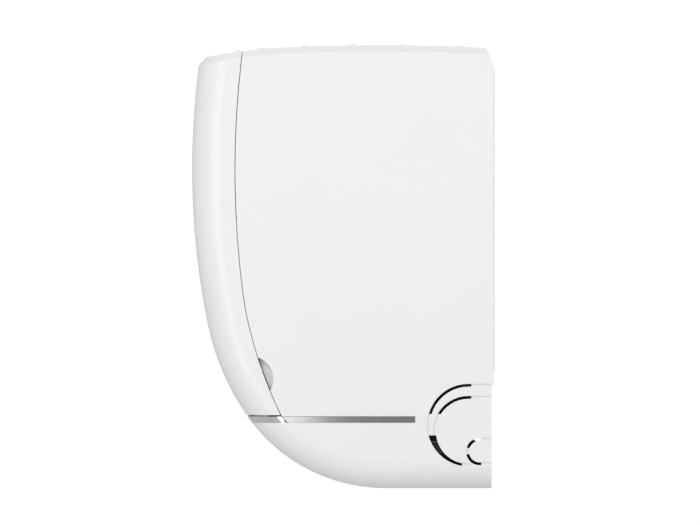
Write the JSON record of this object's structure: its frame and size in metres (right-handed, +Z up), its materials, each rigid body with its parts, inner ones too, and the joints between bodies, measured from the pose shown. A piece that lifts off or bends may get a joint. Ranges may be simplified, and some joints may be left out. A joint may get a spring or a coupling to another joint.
{
  "type": "wall-mounted air conditioner indoor unit",
  "caption": "Wall-hung split air-conditioner indoor unit with hinged front panel, swinging outlet louver, filters, coil and cross-flow fan.",
  "frame": {"origin": "middle of the wall plane: the back of the mounting plate, at mid width and mid height of the unit", "axes": "+X along the width towards the electrical end, +Y into the wall, +Z up; the front faces -Y"},
  "size_m": [0.8, 0.1977, 0.2906],
  "materials": {
    "casing_white": "satin gloss, off-white",
    "panel_white": "satin gloss, off-white",
    "grille_white": "satin",
    "trim_chrome": "bright plated plastic",
    "lens_dark": "polished dark lens",
    "chassis_grey": "moulded, matt",
    "vane_dark": "moulded, matt",
    "fan_black": "moulded, matt",
    "steel": "zinc plated",
    "aluminium": "thin stamped fins",
    "copper": "drawn copper tube",
    "brass": "turned",
    "foam_grey": "closed-cell foam",
    "rubber_black": "matt",
    "filter": "fine woven sheet in a moulded frame",
    "motor_grey": "moulded resin body",
    "box_cream": "flame-retardant moulding",
    "board_green": "coated circuit board",
    "parts_mixed": "component bodies",
    "galvanised": "galvanised sheet"
  },
  "bodies": {
    "unit": {"front_casing": "casing_white", "top_grille": "grille_white", "accent_trim": "trim_chrome", "rear_chassis": "chassis_grey", "drain_pan": "chassis_grey", "drain_plug": "rubber_black", "louver_motor": "motor_grey", "fan_motor": "motor_grey", "motor_bracket": "galvanised", "motor_cushions": "rubber_black", "fan_bearing": "rubber_black", "evaporator_fins": "aluminium", "evaporator_end_plates": "galvanised", "evaporator_tubes": "copper", "apex_seal": "foam_grey", "electric_box": "box_cream", "electric_box_lid": "galvanised", "control_board": "board_green", "board_parts": "parts_mixed", "terminal_block": "box_cream", "terminal_screws": "steel", "cable_clamp": "box_cream", "display_board": "board_green", "mounting_plate": "galvanised", "gas_pipe": "copper", "liquid_pipe": "copper", "pipe_insulation": "foam_grey", "flare_fittings": "brass", "drain_hose": "foam_grey", "pipe_retainer": "chassis_grey", "casing_screws": "steel", "screw_caps": "casing_white", "room_sensor": "rubber_black", "coil_sensor": "steel"},
    "front_panel": {"front_panel": "panel_white", "receiver_window": "lens_dark"},
    "louver": {"louver": "casing_white"},
    "fan": {"cross_flow_fan": "fan_black", "fan_shafts": "steel"},
    "filter_left": {"air_filter_left": "filter"},
    "filter_right": {"air_filter_right": "filter"},
    "button": {"manual_button": "grille_white"},
    "vane_left_1": {"vane_left_1": "vane_dark"},
    "vane_left_2": {"vane_left_2": "vane_dark"},
    "vane_left_3": {"vane_left_3": "vane_dark"},
    "vane_left_4": {"vane_left_4": "vane_dark"},
    "vane_left_5": {"vane_left_5": "vane_dark"},
    "vane_left_6": {"vane_left_6": "vane_dark"},
    "vane_right_1": {"vane_right_1": "vane_dark"},
    "vane_right_2": {"vane_right_2": "vane_dark"},
    "vane_right_3": {"vane_right_3": "vane_dark"},
    "vane_right_4": {"vane_right_4": "vane_dark"},
    "vane_right_5": {"vane_right_5": "vane_dark"},
    "vane_right_6": {"vane_right_6": "vane_dark"},
    "link_left": {"vane_link_left": "vane_dark"},
    "link_right": {"vane_link_right": "vane_dark"}
  },
  "joints": [
    {"name": "panel_hinge", "type": "hinge", "parent": "unit", "child": "front_panel", "pos_m": [0, -0.154, 0.138], "axis": [-1, 0, 0], "range_deg": [0, 60]},
    {"name": "louver_hinge", "type": "hinge", "parent": "unit", "child": "louver", "pos_m": [0, -0.087, -0.1365], "axis": [1, 0, 0], "range_deg": [0, 80]},
    {"name": "fan_spin", "type": "hinge", "parent": "unit", "child": "fan", "pos_m": [0, -0.091, -0.027], "axis": [1, 0, 0], "continuous": true},
    {"name": "filter_left_slide", "type": "hinge", "parent": "unit", "child": "filter_left", "pos_m": [0, -0.036, -0.023], "axis": [-1, 0, 0], "range_deg": [0, 5]},
    {"name": "filter_right_slide", "type": "hinge", "parent": "unit", "child": "filter_right", "pos_m": [0, -0.036, -0.023], "axis": [-1, 0, 0], "range_deg": [0, 5]},
    {"name": "vane_left_1_hinge", "type": "hinge", "parent": "unit", "child": "vane_left_1", "pos_m": [-0.2975, -0.1396, -0.0789], "axis": [0, 0.9307, -0.3657], "range_deg": [-35, 35]},
    {"name": "vane_left_2_hinge", "type": "hinge", "parent": "unit", "child": "vane_left_2", "pos_m": [-0.2475, -0.1396, -0.0789], "axis": [0, 0.9307, -0.3657], "range_deg": [-35, 35]},
    {"name": "vane_left_3_hinge", "type": "hinge", "parent": "unit", "child": "vane_left_3", "pos_m": [-0.1975, -0.1396, -0.0789], "axis": [0, 0.9307, -0.3657], "range_deg": [-35, 35]},
    {"name": "vane_left_4_hinge", "type": "hinge", "parent": "unit", "child": "vane_left_4", "pos_m": [-0.1475, -0.1396, -0.0789], "axis": [0, 0.9307, -0.3657], "range_deg": [-35, 35]},
    {"name": "vane_left_5_hinge", "type": "hinge", "parent": "unit", "child": "vane_left_5", "pos_m": [-0.0975, -0.1396, -0.0789], "axis": [0, 0.9307, -0.3657], "range_deg": [-35, 35]},
    {"name": "vane_left_6_hinge", "type": "hinge", "parent": "unit", "child": "vane_left_6", "pos_m": [-0.0475, -0.1396, -0.0789], "axis": [0, 0.9307, -0.3657], "range_deg": [-35, 35]},
    {"name": "vane_right_1_hinge", "type": "hinge", "parent": "unit", "child": "vane_right_1", "pos_m": [0.0025, -0.1396, -0.0789], "axis": [0, 0.9307, -0.3657], "range_deg": [-35, 35]},
    {"name": "vane_right_2_hinge", "type": "hinge", "parent": "unit", "child": "vane_right_2", "pos_m": [0.0525, -0.1396, -0.0789], "axis": [0, 0.9307, -0.3657], "range_deg": [-35, 35]},
    {"name": "vane_right_3_hinge", "type": "hinge", "parent": "unit", "child": "vane_right_3", "pos_m": [0.1025, -0.1396, -0.0789], "axis": [0, 0.9307, -0.3657], "range_deg": [-35, 35]},
    {"name": "vane_right_4_hinge", "type": "hinge", "parent": "unit", "child": "vane_right_4", "pos_m": [0.1525, -0.1396, -0.0789], "axis": [0, 0.9307, -0.3657], "range_deg": [-35, 35]},
    {"name": "vane_right_5_hinge", "type": "hinge", "parent": "unit", "child": "vane_right_5", "pos_m": [0.2025, -0.1396, -0.0789], "axis": [0, 0.9307, -0.3657], "range_deg": [-35, 35]},
    {"name": "vane_right_6_hinge", "type": "hinge", "parent": "unit", "child": "vane_right_6", "pos_m": [0.2525, -0.1396, -0.0789], "axis": [0, 0.9307, -0.3657], "range_deg": [-35, 35]},
    {"name": "link_left_pin", "type": "hinge", "parent": "vane_left_1", "child": "link_left", "pos_m": [-0.2975, -0.12325, -0.11111], "axis": [0, 0.9307, -0.3657], "range_deg": [-35, 35]},
    {"name": "link_right_pin", "type": "hinge", "parent": "vane_right_1", "child": "link_right", "pos_m": [0.0025, -0.12325, -0.11111], "axis": [0, 0.9307, -0.3657], "range_deg": [-35, 35]},
    {"name": "manual_button_press", "type": "slide", "parent": "unit", "child": "button", "axis": [0, 1, 0], "range_m": [0, 0.001], "stiffness_N_per_m": 400, "springref_m": -0.0005}
  ],
  "couplings": [
    {"joint": "vane_left_2_hinge", "follows": "vane_left_1_hinge", "ratio": 1},
    {"joint": "vane_left_3_hinge", "follows": "vane_left_1_hinge", "ratio": 1},
    {"joint": "vane_left_4_hinge", "follows": "vane_left_1_hinge", "ratio": 1},
    {"joint": "vane_left_5_hinge", "follows": "vane_left_1_hinge", "ratio": 1},
    {"joint": "vane_left_6_hinge", "follows": "vane_left_1_hinge", "ratio": 1},
    {"joint": "vane_right_2_hinge", "follows": "vane_right_1_hinge", "ratio": 1},
    {"joint": "vane_right_3_hinge", "follows": "vane_right_1_hinge", "ratio": 1},
    {"joint": "vane_right_4_hinge", "follows": "vane_right_1_hinge", "ratio": 1},
    {"joint": "vane_right_5_hinge", "follows": "vane_right_1_hinge", "ratio": 1},
    {"joint": "vane_right_6_hinge", "follows": "vane_right_1_hinge", "ratio": 1},
    {"joint": "link_left_pin", "follows": "vane_left_1_hinge", "ratio": -1},
    {"joint": "link_right_pin", "follows": "vane_right_1_hinge", "ratio": -1}
  ]
}
